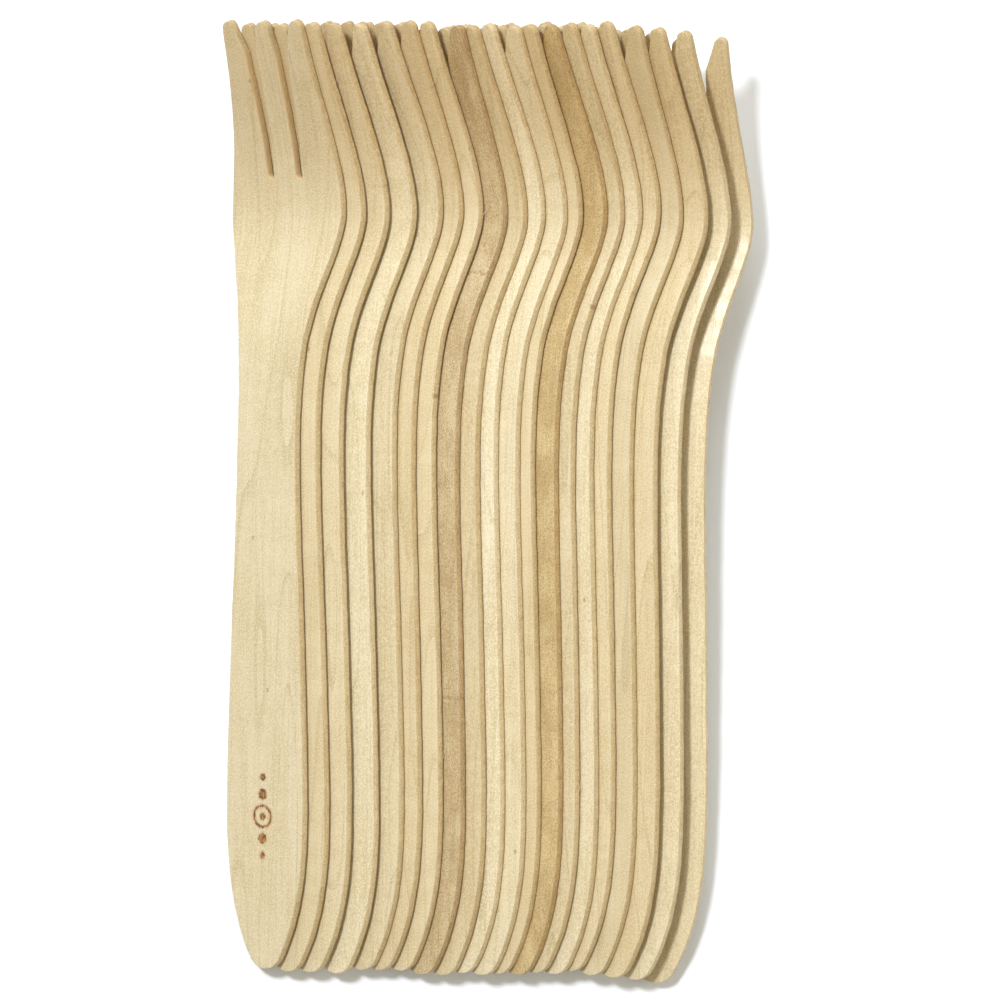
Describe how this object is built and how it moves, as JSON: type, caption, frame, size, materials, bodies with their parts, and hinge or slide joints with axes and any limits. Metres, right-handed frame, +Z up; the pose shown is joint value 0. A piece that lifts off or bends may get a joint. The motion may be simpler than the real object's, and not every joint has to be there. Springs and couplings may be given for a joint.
{
  "type": "pack of wooden forks",
  "caption": "Fanned row of pressed birch-wood picnic forks, each three-tined fork leaning on the next so that its handle edge and tine tips show.",
  "frame": {"origin": "middle of the pack's footprint, on the table it lies on", "axes": "+Y along the forks from the handle ends to the tines, +X across the fan from the top fork to the lowest one, +Z up"},
  "size_m": [0.0884, 0.1602, 0.0217],
  "materials": {
    "birch": "fine sanded, unvarnished, pale",
    "birch_brown": "fine sanded, unvarnished, greyish brown",
    "birch_tan": "fine sanded, unvarnished, orange tan"
  },
  "bodies": {
    "root": {"fork_01": "birch", "fork_02": "birch", "fork_03": "birch", "fork_04": "birch", "fork_05": "birch", "fork_06": "birch", "fork_07": "birch", "fork_08": "birch_brown", "fork_09": "birch", "fork_10": "birch", "fork_11": "birch", "fork_12": "birch", "fork_13": "birch_tan", "fork_14": "birch", "fork_15": "birch", "fork_16": "birch", "fork_17": "birch", "fork_18": "birch", "fork_19": "birch", "fork_20": "birch"}
  },
  "joints": []
}
